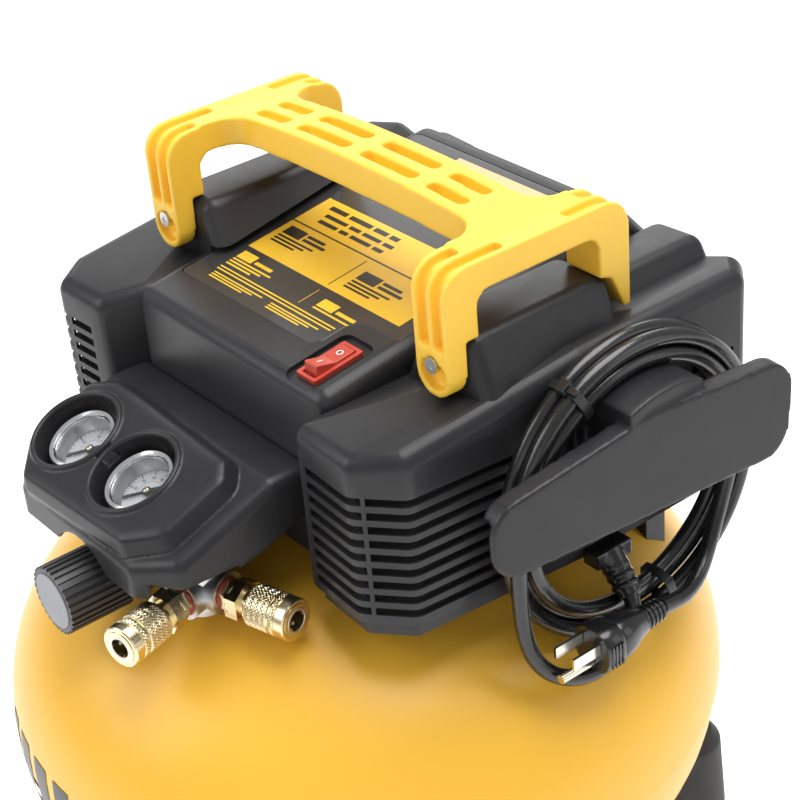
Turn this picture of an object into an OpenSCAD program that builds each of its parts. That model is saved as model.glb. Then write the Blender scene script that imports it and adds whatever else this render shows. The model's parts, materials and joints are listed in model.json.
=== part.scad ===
// Pancake air compressor, 22.7 litre tank, oil-free direct-drive pump.
// Frame: origin on the floor under the tank axis, +Z up, -Y is the control side,
// +X is the operator's right hand when facing the controls. Millimetres.

/* [Tank] */
// Outer radius of the tank
tank_r = 203; // [200:1:206]
// Half of the tank's height, dome to dome
tank_half = 120; // [118:1:121]
// Roundness exponent of the domed heads
tank_n = 2.26; // [2.2:0.02:2.3]
// Steel thickness of the heads
tank_wall = 2.5; // [2:0.5:3]
// Height of the tank's equator above the floor
tank_z = 180; // [180:1:181]

/* [Shroud] */
// Wall thickness of the moulded cover
shroud_wall = 3; // [2.5:0.5:4]
// Lower edge of the cover above the floor
shroud_z0 = 311; // [310:1:312]
// Radius on the cover's outer edges
shroud_round = 9; // [8:1:10]
// Height of one louvre slot
slot_h = 4.4; // [3.5:0.1:4.8]
// Distance from slot to slot
slot_pitch = 7.9; // [7.5:0.1:8]
// Number of slots in a louvre
slot_count = 9; // [5:1:9]

/* [Handle] */
// Middle of the handle across the machine
handle_x = 7; // [6:1:8]
// Distance from the middle to the centre of each yoke
yoke_off = 114; // [113.5:0.5:114.5]
// Width of each yoke
yoke_w = 24.4; // [24:0.2:25]
// Top of the yokes above the floor
handle_top = 482; // [480:1:484]

/* [Controls] */
// Height of the outlet manifold's centre line
man_z = 300; // [300:0.5:301]
// Turn of the two outlets about the vertical
outlet_turn = 15; // [10:1:18]
// Diameter of the regulator knob
knob_d = 38; // [36:1:40]
// Slope of the gauge panel
panel_tilt = 22; // [22:1:22]
// Diameter of a gauge bezel
gauge_d = 40; // [38:1:41]
// Travel of a coupler sleeve
sleeve_travel = 4; // [3:0.5:4]

/* [Cord] */
// Diameter of the mains cord
cord_d = 8.6; // [8:0.2:9]

/* [Hidden] */
$fn = 64;
e = 0.01;
yellow = [0.96, 0.74, 0.22];
black = [0.19, 0.19, 0.2];
steel = [0.7, 0.71, 0.73];
brass = [0.82, 0.74, 0.5];
alu = [0.76, 0.77, 0.78];
top_z = tank_z + tank_half;

// ---------- shared shapes ----------
function head_r(t, d = 0) = (tank_r - d) * pow(abs(cos(t)), 2 / tank_n);
function head_z(t, d = 0) = (tank_half - d) * pow(abs(sin(t)), 2 / tank_n);
function head_pts(d, n = 22) = [for (i = [0:n]) let (t = 90 * i / n)
  [i == n ? 0 : head_r(t, d), head_z(t, d)]];
// height of the tank's top surface at radius q
function dome(q) = tank_z + tank_half * pow(1 - pow(q / tank_r, tank_n), 1 / tank_n);

// solid of revolution that follows the whole tank, grown by g
module tank_solid(g = 0) translate([0, 0, tank_z]) rotate_extrude($fn = 96)
  polygon(concat(head_pts(-g), [for (i = [21:-1:0]) let (t = 90 * i / 22)
    [head_r(t, -g), -head_z(t, -g)]], [[0, -tank_half - g]]));

module rsolid(pts, r) hull() for (p = pts) translate(p) sphere(r = r, $fn = 24);
module ycyl(r, a, b, x = 0, z = 0, f = 64) translate([x, b, z]) rotate([90, 0, 0])
  cylinder(r = r, h = b - a, $fn = f);
module xcyl(r, a, b, y = 0, z = 0, f = 64) translate([a, y, z]) rotate([0, 90, 0])
  cylinder(r = r, h = b - a, $fn = f);
module rrect(w, h, r) offset(r) square([w - 2 * r, h - 2 * r], center = true);
module hexz(af, h) cylinder(d = af / cos(30), h = h, $fn = 6);

// ---------- tank ----------
port_disch = [-35, -33];
port_switch = [-65, -22];
ports = [port_disch, port_switch];
module tank_upper() color(yellow) difference() {
  translate([0, 0, tank_z]) rotate_extrude($fn = 96)
    polygon(concat(head_pts(0), [for (i = [22:-1:0]) let (t = 90 * i / 22)
      [i == 22 ? 0 : head_r(t, tank_wall), head_z(t, tank_wall)]]));
  for (p = ports) translate([p[0], p[1], top_z - 30]) cylinder(r = 7, h = 60);
}
module tank_lower() color(yellow) difference() {
  translate([0, 0, tank_z]) mirror([0, 0, 1]) rotate_extrude($fn = 96)
    polygon(concat([for (q = head_pts(1.6)) q], [for (i = [22:-1:0]) let (t = 90 * i / 22)
      [i == 22 ? 0 : head_r(t, 1.6 + tank_wall), head_z(t, 1.6 + tank_wall)]]));
  translate([0, -60, 40]) cylinder(r = 5, h = 60);
}
// weld bead that closes the step between the two heads
module tank_seam() color(yellow) translate([0, 0, tank_z]) rotate_extrude($fn = 96)
  polygon([[tank_r - 1.6, 0], [tank_r, 0], [tank_r, -1.4], [tank_r - 0.5, -2.4],
    [tank_r - 1.7, -3]]);
module tank_ports() color(steel) {
  for (p = ports) difference() {
    translate([p[0], p[1], 288]) cylinder(r = 13, h = 14.5);
    tank_solid(0);
    translate([p[0], p[1], 280]) cylinder(r = 7, h = 30);
  }
  difference() {
    translate([0, -60, 56]) cylinder(r = 10, h = 12);
    tank_solid(-1.55);
    translate([0, -60, 40]) cylinder(r = 5, h = 60);
  }
}
foot_r = 184;
module at_feet() for (a = [45:90:315]) rotate([0, 0, a]) translate([foot_r, 0, 0])
  children();
module rubber_feet() color(black) difference() {
  at_feet() rotate_extrude($fn = 48) polygon([[9, 0], [20, 0], [22, 2], [23.5, 30],
    [23, 70], [20, 116], [14, 124], [5.1, 124], [5.1, 14], [9, 14]]);
  tank_solid(0.2);
}
module foot_studs() color(steel) difference() {
  at_feet() union() {
    cylinder(r = 5, h = 140);
    translate([0, 0, 4]) cylinder(r = 8.8, h = 9.9);
  }
  tank_solid(-1.4);
  translate([0, 0, -e]) cylinder(r = 300, h = 4);
}

// ---------- pump and motor ----------
mot = [0, 62, 358];       // point on the motor axis, which runs along X
cyl_x = 60;
module pump_base() color(steel) difference() {
  union() {
    translate([-66, 4, 307]) cube([142, 116, 4]);
    for (x = [-60, 62]) translate([x, 8, 285]) cube([6, 108, 22.2]);
  }
  tank_solid(0);
  for (x = [-50, 50]) for (y = [14, 110]) translate([x, y, 300]) cylinder(r = 4, h = 20);
}
module isolators() color([0.12, 0.12, 0.12])
  for (x = [-50, 50]) for (y = [14, 110]) translate([x, y, 311]) cylinder(r = 9, h = 5);
module motor_stator() color(steel) difference() {
  translate([-42, mot[1], mot[2]]) rotate([0, 90, 0]) linear_extrude(60)
    offset(8) square([66, 66], center = true);
  xcyl(25, -50, 30, mot[1], mot[2]);
  for (a = [0:30:330]) translate([0, mot[1], mot[2]]) rotate([a, 0, 0])
    translate([-50, -3, 27]) cube([80, 6, 8]);
}
module motor_windings() color([0.72, 0.4, 0.2]) {
  for (a = [0:30:330]) translate([0, mot[1], mot[2]]) rotate([a, 0, 0])
    translate([-46, -2.8, 27.2]) cube([68, 5.6, 7.6]);
  for (x = [-50, 22]) difference() {
    xcyl(36, x, x + 4, mot[1], mot[2]);
    xcyl(27, x - 1, x + 5, mot[1], mot[2]);
  }
}
module motor_end_frames() color(alu) {
  difference() {
    xcyl(42, -58, -42.2, mot[1], mot[2]);
    xcyl(38, -54, -40, mot[1], mot[2]);
    xcyl(6.1, -60, -40, mot[1], mot[2]);
    for (a = [45:90:315]) translate([0, mot[1], mot[2]]) rotate([a, 0, 0])
      translate([-60, 0, 24]) rotate([0, 90, 0]) cylinder(r = 8, h = 10);
  }
  difference() {
    xcyl(42, 18.2, 28, mot[1], mot[2]);
    xcyl(38, 17, 26.4, mot[1], mot[2]);
    xcyl(6.1, 17, 30, mot[1], mot[2]);
  }
  translate([-56, mot[1] - 46, 316.2]) cube([12, 92, 4]);
}
module motor_rotor() color([0.5, 0.5, 0.52]) union() {
  xcyl(6, -86, 49, mot[1], mot[2]);
  xcyl(24.4, -40, 16, mot[1], mot[2]);
  xcyl(24, 45, 51, mot[1], mot[2]);
}
module motor_fan() color([0.85, 0.84, 0.8]) union() {
  difference() { xcyl(11, -82, -62, mot[1], mot[2]); xcyl(6, -90, -60, mot[1], mot[2]); }
  for (a = [0:60:300]) translate([-72, mot[1], mot[2]]) rotate([a, 0, 0])
    translate([0, 0, 10.5]) rotate([0, 0, 38]) translate([-1, -9, 0]) cube([2, 18, 29]);
}
module crankcase() color(alu) difference() {
  union() {
    translate([28.1, 30, 316]) cube([62, 66, 80]);
    translate([28.1, 28, 316.2]) cube([62, 76, 5.4]);
  }
  translate([32, 34, 330]) cube([54, 58, 56]);
  ycyl(27, 20, 60, cyl_x - 1, mot[2]);
  xcyl(6.1, 20, 40, mot[1], mot[2]);
}
module piston_rod() color([0.8, 0.8, 0.82]) union() {
  ycyl(25.8, -4, 8, cyl_x - 1, mot[2]);
  translate([cyl_x - 5, 2, mot[2] - 6]) rotate([10, 0, 0]) cube([9, 56, 12]);
  xcyl(11, 55, 64, mot[1], mot[2] + 9);
  xcyl(6, 51.3, 55.2, mot[1], mot[2] + 9);
}
module cylinder_barrel() color(alu) difference() {
  union() {
    ycyl(30.8, -20, 30, cyl_x - 1, mot[2]);
    for (i = [0:5]) ycyl(39, -18 + i * 6.4, -15.8 + i * 6.4, cyl_x - 1, mot[2]);
  }
  ycyl(26, -30, 40, cyl_x - 1, mot[2]);
}

head_c = [cyl_x - 1, 0, mot[2]];
module head_plate(y0, y1, r = 7) translate([head_c[0], y1, head_c[2]]) rotate([90, 0, 0])
  linear_extrude(y1 - y0) offset(r) square([74 - 2 * r, 76 - 2 * r], center = true);
module head_holes(y0, y1) for (sx = [-1, 1]) for (sz = [-1, 1])
  ycyl(2.7, y0, y1, head_c[0] + sx * 31, head_c[2] + sz * 32);
module valve_plate() color(steel) difference() {
  head_plate(-25, -20);
  head_holes(-30, -10);
  ycyl(4, -30, -10, head_c[0] - 12, head_c[2]);
  ycyl(4, -30, -10, head_c[0] + 12, head_c[2]);
}
module cylinder_head() color(alu) difference() {
  union() {
    head_plate(-36, -25);
    translate([head_c[0] - 26, -46, head_c[2] - 27]) cube([52, 12, 54]);
    for (i = [0:5]) translate([head_c[0] - 34, -50, head_c[2] - 28 + i * 10])
      cube([68, 16, 3]);
  }
  head_holes(-60, -10);
  xcyl(4.6, 10, 41, -38, head_c[2] - 13);
  xcyl(7, 77, 110, -38, head_c[2] + 10);
}
module head_bolts() color(steel) for (sx = [-1, 1]) for (sz = [-1, 1])
  translate([head_c[0] + sx * 31, 0, head_c[2] + sz * 32]) {
    ycyl(2.6, -36, -19.5);
    translate([0, -36, 0]) rotate([90, 0, 0]) hexz(7.6, 4);
  }
module intake_filter() color(black) union() {
  xcyl(6.9, 84, 97, -38, head_c[2] + 10);
  xcyl(18, 96.1, 119, -38, head_c[2] + 10);
  for (i = [0:3]) xcyl(19, 98 + i * 5.5, 100 + i * 5.5, -38, head_c[2] + 10);
}
dis = [port_disch[0], port_disch[1], head_c[2] - 13];
module discharge_tube() color([0.78, 0.47, 0.3]) union() {
  xcyl(4, dis[0] + 20, 33, -38, dis[2]);
  translate([dis[0] + 20, -38, dis[2] - 20]) rotate([90, 0, 0]) rotate([0, 0, 90])
    rotate_extrude(angle = 90) translate([20, 0]) circle(r = 4, $fn = 32);
  translate([dis[0], -38, 321]) cylinder(r = 4, h = dis[2] - 20 - 321 + e);
  xcyl(8, 15, 21.8, -38, dis[2]);
}
module check_valve() color(brass) translate([dis[0], dis[1], 0]) union() {
  translate([0, 0, 290]) cylinder(r = 6.9, h = 14);
  translate([0, 0, 302.6]) rotate([0, 0, 30]) hexz(20, 10);
  translate([0, -5, 312]) cylinder(r = 7.5, h = 9);
  translate([0, 0, 312]) cylinder(r = 9, h = 4);
}
sw = [-92, -49, 322];     // low corner of the pressure switch
module pressure_switch() color(black) union() {
  translate([sw[0], sw[1], sw[2]]) cube([52, 48, 50]);
  translate([port_switch[0], port_switch[1], 302.6]) hexz(22, 20);
  translate([port_switch[0], port_switch[1], 290]) cylinder(r = 6.9, h = 14);
}
module feed_pipe() color(steel) union() {
  ycyl(5.5, -101, -39.5, -55, man_z + 9);
  ycyl(9, -101, -96, -55, man_z + 9, 6);
  translate([-55, -39.5, man_z + 9]) cylinder(r = 5.5, h = sw[2] - man_z - 9);
  translate([-55, -39.5, man_z + 9]) sphere(r = 5.5);
}
module unloader_tube() color([0.85, 0.85, 0.8]) union() {
  translate([dis[0] - 15.5, dis[1], 305.5]) cylinder(r = 2.2, h = sw[2] - 305.6);
  xcyl(1.9, dis[0] - 15.5, dis[0] - 10.05, dis[1], 308);
}

// ---------- outlet manifold, regulator, relief valve ----------
tee = [25, -113];
knob_x = -17;
man_y = -113;
module turned() translate([tee[0], tee[1], man_z]) rotate([0, 0, outlet_turn]) children();
module manifold() color(alu) difference() {
  union() {
    translate([-68, man_y - 11, man_z - 10.5]) cube([84, 22, 21]);
    translate([tee[0], tee[1], man_z - 12]) cylinder(r = 13, h = 24);
    turned() { ycyl(11.5, -17, 0); xcyl(11.5, 0, 17); }
  }
  turned() { ycyl(6.6, -20, 4); xcyl(6.6, -4, 20); }
  translate([tee[0], tee[1], man_z - 6]) cylinder(r = 7, h = 12);
  for (x = gauge_x) translate([x, man_y - 1.3, man_z + 3]) cylinder(r = 4.6, h = 20);
  ycyl(8, man_y - 20, man_y - 4, knob_x, man_z);
  ycyl(4.6, man_y, man_y + 20, -40, man_z);
  ycyl(5.2, man_y + 4, man_y + 20, -55, man_z + 3.9 + 5.1);
}
module regulator_body() color([0.25, 0.25, 0.26]) union() {
  ycyl(7.9, man_y - 14, man_y - 6, knob_x, man_z);
  ycyl(17, man_y - 27, man_y - 11.1, knob_x, man_z);
  ycyl(11, man_y - 50, man_y - 26, knob_x, man_z);
}
knob_y0 = man_y - 64;
module regulator_knob() color(black) difference() {
  translate([knob_x, man_y - 27.5, man_z]) rotate([90, 0, 0])
    linear_extrude(man_y - 27.5 - knob_y0) union() {
      circle(d = knob_d - 2.4, $fn = 72);
      for (a = [0:12:348]) rotate(a) translate([knob_d / 2 - 2.4, -1])
        square([2.4, 2]);
    }
  ycyl(11.05, man_y - 51, man_y - 27, knob_x, man_z);
  ycyl(15.5, knob_y0 - 1, knob_y0 + 2, knob_x, man_z);
}
module knob_cap() color([0.72, 0.73, 0.75])
  ycyl(15.45, knob_y0 - 0.6, knob_y0 + 2, knob_x, man_z);
module relief_body() color(brass) difference() {
  union() {
    ycyl(4.55, man_y + 1, man_y + 12, -40, man_z);
    translate([-40, man_y + 19, man_z]) rotate([90, 0, 0]) hexz(11.5, 8);
    ycyl(5.2, man_y + 18.9, man_y + 25, -40, man_z);
  }
  ycyl(1.55, man_y + 6, man_y + 30, -40, man_z);
}
module relief_pull() color(steel) union() {
  ycyl(1.5, man_y + 7, man_y + 28.4, -40, man_z);
  difference() {
    translate([-40, man_y + 33, man_z - 0.9]) cylinder(r = 6.5, h = 1.8);
    translate([-40, man_y + 33, man_z - 2]) cylinder(r = 4.6, h = 4);
  }
}

// ---------- gauges ----------
gauge_x = [-61, -5];
face = [0, -125.5, 359];     // a point on the panel's tilted face
module on_face(x) translate([x, face[1], face[2]]) rotate([panel_tilt, 0, 0]) children();
lens_z = -7;                 // lens below the tilted face
module gauge_cases() color(black) for (x = gauge_x) {
  on_face(x) translate([0, 0, lens_z - 25]) difference() {
    cylinder(d = gauge_d - 2, h = 22);
    translate([0, 0, 10]) cylinder(d = gauge_d - 5, h = 20);
    translate([0, 0, 4]) cylinder(d = 3, h = 20);
  }
  difference() {
    translate([x, man_y - 1.3, man_z + 4]) cylinder(r = 4.5, h = 38);
    on_face(x) translate([0, 0, lens_z - 25]) cylinder(d = 60, h = 80);
  }
}
module gauge_dials() color([0.95, 0.95, 0.93]) for (x = gauge_x) on_face(x)
  translate([0, 0, lens_z - 15 + 4]) difference() {
    cylinder(d = gauge_d - 5.2, h = 1.2);
    translate([0, 0, -1]) cylinder(d = 3, h = 4);
  }
module gauge_bezels() color([0.85, 0.86, 0.88]) for (x = gauge_x) on_face(x)
  translate([0, 0, lens_z]) rotate_extrude() polygon([
    [gauge_d / 2 - 3, 0.1], [gauge_d / 2 - 2.4, -3], [gauge_d / 2, -3],
    [gauge_d / 2, 1], [gauge_d / 2 - 1, 2], [gauge_d / 2 - 3, 1.6]]);
module gauge_lenses() color([0.9, 0.93, 0.95, 0.3]) for (x = gauge_x) on_face(x)
  translate([0, 0, lens_z - 1.7]) cylinder(d = gauge_d - 6.4, h = 1.6);
module needle(x) color([0.08, 0.08, 0.08]) on_face(x) translate([0, 0, lens_z - 9.2])
  rotate([0, 0, 135]) union() {
    cylinder(d = 5, h = 2);
    translate([0, 0, -4]) cylinder(d = 2.9, h = 5);
    translate([-0.6, 0, 0.4]) cube([1.2, 14, 0.8]);
    translate([-1.4, -8, 0.4]) cube([2.8, 7, 0.8]);
  }
module needle_left() needle(gauge_x[0]);
module needle_right() needle(gauge_x[1]);

// ---------- gauge panel ----------
module panel_shell(r, d) difference() {
  hull() {
    for (x = [-94 + d + r, 61 - d - r]) for (y = [-50, -84]) for (z = [290, 365 - d - r])
      translate([x, y, z]) sphere(r = r, $fn = 24);
    for (q = [[-90 + d + r, -138], [-78 + d + r, -157 + d + r], [38 - d - r, -157 + d + r],
      [58 - d - r, -138]]) for (z = [290, 365 - d - r - tan(panel_tilt) * (-84 - q[1])])
      translate([q[0], q[1], z]) sphere(r = r, $fn = 24);
  }
  translate([-150, -63.1, 200]) cube([300, 60, 300]);
  translate([0, 0, 200]) linear_extrude(300) polygon([[-98.7, -76.6], [-87.7, -56.4],
    [-115, -56.4]]);
}
// raised island that carries the two gauges
island = [[-90, 26], [-90, -16], [-74, -33], [30, -33], [47, -17], [47, 26], [40, 33],
  [-80, 33]];
module island_block(d) on_face(0) hull() for (q = island) translate([
  q[0] * (1 - 12 / norm(q)) , q[1] * (1 - 12 / norm(q)), -16]) {
    cylinder(r = 11 - d, h = 8, $fn = 32);
    translate([0, 0, 14]) scale([1, 1, 0.35]) sphere(r = 8 - d, $fn = 32);
  }
module well(x, r1, r2, z0, z1) on_face(x) hull() {
  translate([0, 0, z0]) cylinder(r = r1, h = 0.1);
  translate([0, 0, z1]) cylinder(r = r2, h = 0.1);
}
module panel_cover() color(black) difference() {
  union() {
    panel_shell(7, 0);
    island_block(0);
    for (x = gauge_x) well(x, 28, 26.6, -14, 2.4);
  }
  difference() {
    panel_shell(4, 3);
    for (x = gauge_x) well(x, 25.6, 25.6, -24, 30);
  }
  for (x = gauge_x) well(x, 22.6, 24, -26, 2.5);
  on_face(0) translate([(gauge_x[0] + gauge_x[1]) / 2 - 9, -4.5, -5]) cube([18, 9, 12]);
  // lower edge: sloped up toward the rear, arched over the knob
  translate([-200, 0, 0]) rotate([90, 0, 90]) linear_extrude(400) polygon([[-200, 200],
    [-200, 310], [-158, 317], [-100, 327], [-62, 341], [-40, 345], [-40, 200]]);
  ycyl(29, -200, -146, knob_x, man_z);
  translate([40, -170, 300]) cube([60, 60, 27]);
}

// ---------- outlets ----------
module both_outlets() { turned() rotate([90, 0, 0]) children();
  turned() rotate([0, 90, 0]) children(); }
module outlet_nipples() color(brass) both_outlets() difference() {
  union() { translate([0, 0, 9]) cylinder(r = 6.5, h = 22);
    translate([0, 0, 17.1]) hexz(15, 5.5); }
  cylinder(r = 3.6, h = 40);
}
mouth = 62;
bore_in = 44;
module coupler_bodies() color(brass) both_outlets() difference() {
  union() {
    translate([0, 0, 22.8]) hexz(20, 8);
    translate([0, 0, 30]) cylinder(r = 8, h = mouth - 30 - 3);
    translate([0, 0, mouth - 3.1]) cylinder(r = 9, h = 3.1);
  }
  cylinder(r = 6.55, h = 31.2);
  translate([0, 0, 30]) cylinder(r = 4.9, h = 16);
  translate([0, 0, bore_in]) cylinder(r = 5.4, h = 40);
}
module coupler_valves() color(brass) both_outlets() difference() {
  union() { translate([0, 0, 32]) cylinder(r = 4.85, h = 2);
    translate([0, 0, 33.9]) cylinder(r = 2.4, h = 7);
    translate([0, 0, 40.8]) sphere(r = 2.4); }
  translate([0, 0, 31]) for (a = [0:90:270]) rotate([0, 0, a]) translate([3.7, 0, 0])
    cylinder(r = 0.8, h = 4);
}
module sleeve() color(brass) difference() {
  rotate_extrude() polygon([[8.1, 35.2], [10.6, 35.2], [11, 35.8], [11, 50], [10.4, 50.4],
    [10.4, 51.2], [11, 51.6], [11, 54.6], [10.4, 55], [10.4, 55.6], [11.4, 56.2],
    [11.4, mouth - 1.2], [10.8, mouth - 0.4], [9.1, mouth - 0.4], [9.1, mouth - 8],
    [8.1, mouth - 8.6]]);
}
module sleeve_front() turned() rotate([90, 0, 0]) sleeve();
module sleeve_side() turned() rotate([0, 90, 0]) sleeve();

// ---------- moulded cover ----------
// corner circles of each wing: x, y, height of the rounding centre at the top
wing_r = [[82, -72, 394], [117, -74, 395.5], [134, -60, 398], [143, 40, 414],
  [143, 146, 414], [133, 156, 413], [84, 156, 396]];
wing_l = [[-107, -72, 395], [-137, -74, 395.5], [-146, -60, 398], [-148, 40, 410],
  [-148, 146, 411], [-138, 156, 410], [-90, 156, 396], [-96, -52, 398]];
core = [[-83, -54, 401], [69, -54, 401], [-83, 137, 428], [69, 137, 428],
  [-83, 155, 408], [69, 155, 408], [-83, 156, 396], [69, 156, 396]];
module block(pts, r) rsolid(concat(pts, [for (p = pts) [p[0], p[1], 280]]), r);
// saddles under the yokes and the humps behind them; m mirrors to the left
module saddle(m, r) rsolid([for (y = [-7.3, 67]) for (q = [[104, 434.5], [126, 434.5],
  [88, 400], [139, 400]]) [m ? 2 * handle_x - q[0] : q[0], y, q[1]]], r);
module hump(m, r) rsolid([for (y = [98, 156]) for (q = [[86, 416], [106, 417],
  [84, 396], [117, 398]]) [m ? 2 * handle_x - q[0] : q[0], y - 1, q[1]]], r);
module cover_solid(d) {
  block(wing_r, shroud_round - d);
  block(wing_l, shroud_round - d);
  block(core, shroud_round - d);
  for (m = [false, true]) { saddle(m, 9 - d); hump(m, 9 - d); }
}
module plan(pts, o) offset(shroud_round + o) polygon([for (p = pts) [p[0], p[1]]]);
module louvre(pts, x0, x1, y0, y1, rib) for (i = [0:slot_count - 1])
  translate([0, 0, 316 + i * slot_pitch]) linear_extrude(slot_h) difference() {
    intersection() {
      difference() { plan(pts, 3); plan(pts, -4.2); }
      polygon([[x0, y0], [x1, y0], [x1, y1], [x0, y1]]);
    }
    translate(rib) rotate(45) square([2.2, 40], center = true);
  }
slope = 8.13;
module on_top() translate([0, -55.27, 409.91]) rotate([slope, 0, 0]) children();
sw_c = [54, 15.5];        // rocker switch centre on the sloped top
label_pts = [[-84, 18], [32, 18], [37, 24], [37, 40], [43, 46], [70, 46], [70, 189],
  [-84, 189]];
module shroud() color(black) difference() {
  cover_solid(0);
  cover_solid(shroud_wall);
  // the wings open into the middle
  translate([66, -57, 200]) cube([24, 207, 198]);
  translate([-100, -50, 200]) cube([20, 200, 198]);
  translate([-300, -300, 200]) cube([600, 600, shroud_z0 - 200]);
  louvre(wing_r, 84, 200, -200, 0, [127, -80]);
  louvre(wing_r, 118, 200, 112, 142, [300, 300]);
  louvre(wing_r, 84, 130, 150, 200, [300, 300]);
  louvre(wing_l, -200, -113, -200, -6, [-146, -70]);
  louvre(wing_l, -200, -120, 112, 142, [-300, 300]);
  louvre(wing_l, -136, -92, 150, 200, [-300, 300]);
  on_top() {
    translate([0, 0, -1.2]) linear_extrude(5) offset(4) offset(-4) polygon(label_pts);
    translate([sw_c[0], sw_c[1], -2.4]) linear_extrude(6) rrect(25, 42, 6);
    translate([sw_c[0], sw_c[1], -10]) linear_extrude(16) square([13.4, 28.6],
      center = true);
  }
  for (m = [-1, 1]) ycyl(2.6, -22, -2, handle_x + m * yoke_off, 432);
  for (m = [-1, 1]) ycyl(2.6, 60, 90, handle_x + m * yoke_off, 431);
  // way through for the pipe from the pressure switch
  translate([-66, -75, 300]) cube([22, 20, 22]);
}
module label_plate() color([0.24, 0.24, 0.25]) on_top() translate([0, 0, -1.2])
  linear_extrude(1) offset(3.7) offset(-4) polygon(label_pts);
module at_switch() on_top() translate([sw_c[0], sw_c[1], -2.4]) children();
module switch_bezel() color([0.85, 0.28, 0.23]) at_switch() difference() {
  union() {
    translate([0, 0, 0]) linear_extrude(2.4) rrect(15.4, 31, 1.2);
    translate([0, 0, -13]) linear_extrude(13.2) square([13, 28.2], center = true);
  }
  translate([0, 0, -11]) linear_extrude(20) square([10.4, 26.8], center = true);
  translate([0, 0, 0.4]) xcyl(1.24, -6.2, 6.2, 0, 0);
}
module switch_rocker() color([0.85, 0.28, 0.23]) at_switch() translate([0, 0, 0.4])
  rotate([-10, 0, 0]) union() {
    translate([-4.9, 0, 0]) rotate([90, 0, 90]) linear_extrude(9.8) polygon([
      [-12, 4.9], [-11.4, 5.2], [0, 3.1], [11.4, 5.2], [12, 4.9], [12, -2], [7, -7],
      [-7, -7], [-12, -2]]);
    xcyl(1.2, -6.1, 6.1, 0, 0);
  }
// band under the cover, standing on four legs on the tank
module skirt_frame() color([0.14, 0.14, 0.15]) difference() {
  union() {
    translate([0, 0, 301]) linear_extrude(shroud_z0 - 301.3) difference() {
      union() { plan(wing_r, -5); plan(wing_l, -5); plan(core, -5); }
      translate([-3, 48]) square([210, 176], center = true);
    }
    for (q = [[92, -24], [-104, -24], [110, 120], [-116, 120]])
      translate([q[0] - 7, q[1] - 7, 220]) cube([14, 14, shroud_z0 - 220.3]);
  }
  tank_solid(0);
  // open behind the gauge panel, where the pipes pass
  translate([-80, -90, 298]) cube([62, 70, 20]);
}

// ---------- carrying handle ----------
// side outline of a yoke in y, z
module yoke_side() difference() {
  translate([29.85, 440]) offset(15) square([116.7 - 30, 2 * (handle_top - 440) - 30],
    center = true);
  translate([29.7, 440]) offset(9) square([77.4 - 18, 2 * 27 - 18], center = true);
  translate([-9, 380]) square([77.4, 64]);
  polygon([[-16.6, 444], [10, 444], [10, 380], [-18, 380]]);
  polygon([[60, 444], [68.4, 444], [75.8, 441.4], [84.4, 422], [86, 400], [60, 400]]);
}
module yoke_body() difference() {
  rotate([90, 0, 90]) linear_extrude(yoke_w, center = true) difference() {
    union() {
      translate([0, 0]) yoke_side();
      translate([-28.5, 415]) square([11.4, 30]);
      translate([84, 423]) square([3.9, 30]);
    }
    translate([-40, 300]) square([62, 115]);
    translate([20, 300]) square([90, 123]);
  }
  // rounded lower end of the front leg
  difference() {
    translate([-30, -40, 400]) cube([60, 31, 27.2]);
    ycyl(yoke_w / 2, -50, 0, 0, 427.2);
  }
  // grooves up the front and over the corner, and again at the back
  for (gx = [-5.2, 5.2]) {
    translate([gx - 3.3, 0, 0]) rotate([90, 0, 90]) linear_extrude(6.6)
      difference() {
        translate([-40, 441]) square([52, 60]);
        translate([29.85, 440]) offset(9.5) square([116.7 - 30, 2 * (handle_top - 440) - 30],
          center = true);
      }
    translate([gx - 3.3, 0, 0]) rotate([90, 0, 90]) linear_extrude(6.6)
      difference() {
        translate([52, 436]) square([50, 60]);
        translate([29.85, 440]) offset(10.5) square([116.7 - 30, 2 * (handle_top - 440) - 30],
          center = true);
      }
  }
  // pocket with the screw boss
  difference() {
    intersection() {
      ycyl(yoke_w / 2 - 3.4, -40, -22.5, 0, 427.2);
      translate([-20, -45, 400]) cube([40, 30, 60]);
    }
    ycyl(4.6, -60, 0, 0, 432);
    translate([-20, -60, 437.6]) cube([40, 60, 20]);
  }
  ycyl(2.6, -60, 0, 0, 432);
  ycyl(2.6, 60, 100, 0, 431);
  ycyl(4.4, -60, -26, 0, 432);
}
bar_y = 33.5;              // middle of the grip bar
bar_w = 36;
bar_top = 488;             // highest point of the arched bar
pocket_x = 1;              // middle of the row of pockets
module bar_plan() offset(-16) offset(16) union() {
  translate([handle_x, bar_y]) square([2 * yoke_off, bar_w], center = true);
  for (m = [-1, 1]) translate([handle_x + m * yoke_off, 32]) square([yoke_w, 76],
    center = true);
}
module handle() color(yellow) union() {
  difference() {
    intersection() {
      translate([0, 0, 467]) linear_extrude(30) intersection() {
        bar_plan();
        translate([handle_x, 30]) square([2 * yoke_off + 2, 100], center = true);
      }
      ycyl(1083, -100, 200, handle_x, bar_top - 1083, 360);
      // round the edges where the bar joins the yokes
      translate([handle_x - 130, 0, 0]) rotate([90, 0, 90]) linear_extrude(260)
        translate([32, 467]) offset(6) square([84, 31], center = true);
    }
    // lightening pockets in two rows
    for (y = [bar_y - 7.5, bar_y + 7]) for (m = [-1, 1]) {
      translate([pocket_x + m * 27, y, 480]) linear_extrude(20) rrect(43, 7, 3);
      translate([pocket_x + m * 72, y, 479]) linear_extrude(20) rrect(28, 7, 3);
    }
    // the underside is arched too
    ycyl(1700, -100, 200, handle_x, 470 - 1700, 360);
  }
  for (m = [-1, 1]) translate([handle_x + m * yoke_off, 0, 0]) yoke_body();
}
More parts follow.
